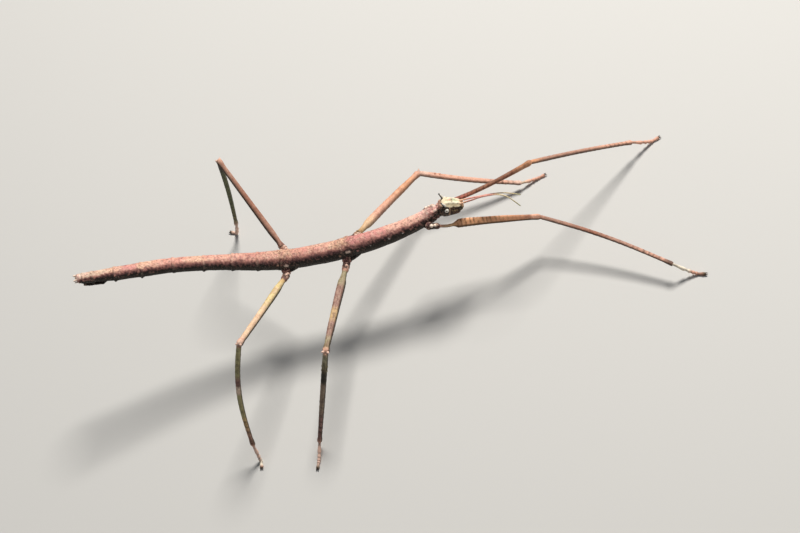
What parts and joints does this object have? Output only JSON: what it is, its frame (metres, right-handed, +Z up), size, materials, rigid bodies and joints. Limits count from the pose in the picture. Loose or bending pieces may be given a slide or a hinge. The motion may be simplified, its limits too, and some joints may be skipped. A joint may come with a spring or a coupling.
{
  "type": "stick insect",
  "caption": "Life-size female stick insect standing still: bent twig-like body, horned head, short feelers, long thin legs on small flat feet.",
  "frame": {"origin": "centre of the bounding box in plan, on the floor that the six feet stand on", "axes": "+X forwards, the way the head points, along the longest extent; +Y towards the insect's left; +Z up, the shortest extent"},
  "size_m": [0.1512, 0.079, 0.0391],
  "materials": {
    "body_cuticle": "dry granular cuticle, pink-brown above and dark brown below",
    "head_cuticle": "rough cuticle, cream above and dark brown at the sides",
    "leg_cuticle": "ridged cuticle, tan to olive brown with darker bands",
    "foot_cuticle": "thin pale pink cuticle",
    "feeler": "thread-like, pink at the root and pale yellow at the tip",
    "eye": "smooth, pale ring round a darker middle",
    "horn": "smooth dark horn with a pale edge"
  },
  "bodies": {
    "root": {"head": "head_cuticle", "eye_left": "eye", "eye_right": "eye", "horn_left": "horn", "horn_right": "horn", "feeler_left": "feeler", "feeler_right": "feeler", "prothorax": "body_cuticle", "mesothorax": "body_cuticle", "metathorax": "body_cuticle", "abdomen_2": "body_cuticle", "abdomen_3": "body_cuticle", "abdomen_4": "body_cuticle", "abdomen_5": "body_cuticle", "abdomen_6": "body_cuticle", "abdomen_7": "body_cuticle", "abdomen_8": "body_cuticle", "abdomen_9": "body_cuticle", "abdomen_10": "body_cuticle", "tail_plate": "body_cuticle", "coxa_fore_left": "leg_cuticle", "coxa_fore_right": "leg_cuticle", "coxa_middle_left": "leg_cuticle", "coxa_middle_right": "leg_cuticle", "coxa_hind_left": "leg_cuticle", "coxa_hind_right": "leg_cuticle", "femur_fore_left": "leg_cuticle", "femur_fore_right": "leg_cuticle", "femur_middle_left": "leg_cuticle", "femur_middle_right": "leg_cuticle", "femur_hind_left": "leg_cuticle", "femur_hind_right": "leg_cuticle", "tibia_fore_left": "leg_cuticle", "tibia_fore_right": "leg_cuticle", "tibia_middle_left": "leg_cuticle", "tibia_middle_right": "leg_cuticle", "tibia_hind_left": "leg_cuticle", "tibia_hind_right": "leg_cuticle", "tarsus_fore_left": "foot_cuticle", "tarsus_fore_right": "foot_cuticle", "tarsus_middle_left": "foot_cuticle", "tarsus_middle_right": "foot_cuticle", "tarsus_hind_left": "foot_cuticle", "tarsus_hind_right": "foot_cuticle"}
  },
  "joints": []
}
